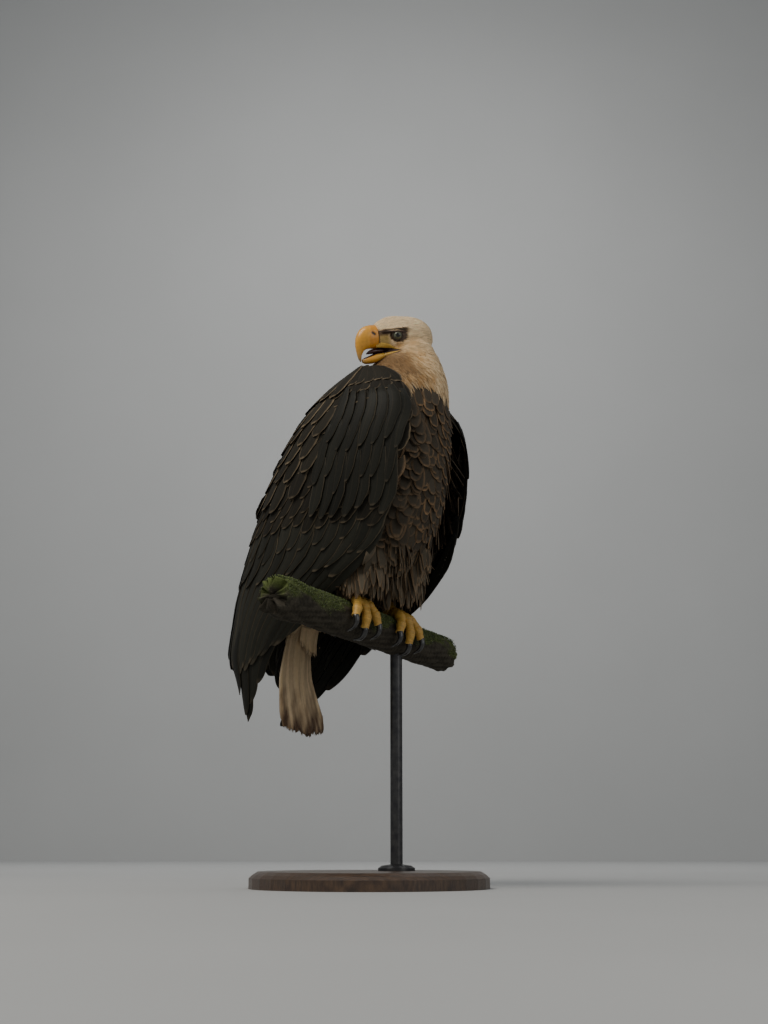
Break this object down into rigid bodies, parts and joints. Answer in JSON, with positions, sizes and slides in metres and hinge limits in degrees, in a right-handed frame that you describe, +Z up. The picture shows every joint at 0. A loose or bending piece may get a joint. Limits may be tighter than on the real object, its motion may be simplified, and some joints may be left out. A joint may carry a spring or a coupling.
{
  "type": "perched bald eagle display model",
  "caption": "Life-size still bald eagle with folded wings and open bill, turned head, gripping a cut limb on a rod and round base.",
  "frame": {"origin": "centre of the round base's underside, on the floor", "axes": "+Z up; the camera looks along +Y; the bird's body faces 30 degrees from +X towards -Y, and its head is turned back over its right shoulder, towards -X"},
  "size_m": [0.4276, 0.3905, 0.9438],
  "materials": {
    "white_feather": "soft cream-white body feathers and tail vanes",
    "brown_feather": "dark brown feathers with paler edges",
    "bill_horn": "yellow horn, satin, paler at the hook",
    "foot_skin": "yellow scaled skin",
    "claw_horn": "black polished horn",
    "eye": "clear dome over a pale olive iris and black pupil",
    "mouth": "moist dark pink mouth lining",
    "bark": "rough brown bark with green moss on top",
    "base_wood": "dark stained satin wood",
    "rod_steel": "blackened steel, satin"
  },
  "bodies": {
    "root": {"head": "white_feather", "neck": "white_feather", "trunk": "brown_feather", "tail": "white_feather", "wing_right": "brown_feather", "wing_left": "brown_feather", "thigh_right": "brown_feather", "thigh_left": "brown_feather", "foot_right": "foot_skin", "foot_left": "foot_skin", "claw_right_inner": "claw_horn", "claw_right_middle": "claw_horn", "claw_right_outer": "claw_horn", "claw_right_hind": "claw_horn", "claw_left_inner": "claw_horn", "claw_left_middle": "claw_horn", "claw_left_outer": "claw_horn", "claw_left_hind": "claw_horn", "eye_left": "eye", "eye_right": "eye", "bill_upper": "bill_horn", "bill_lower": "bill_horn", "tongue": "mouth", "perch": "bark", "stand_base": "base_wood", "stand_rod": "rod_steel"}
  },
  "joints": []
}
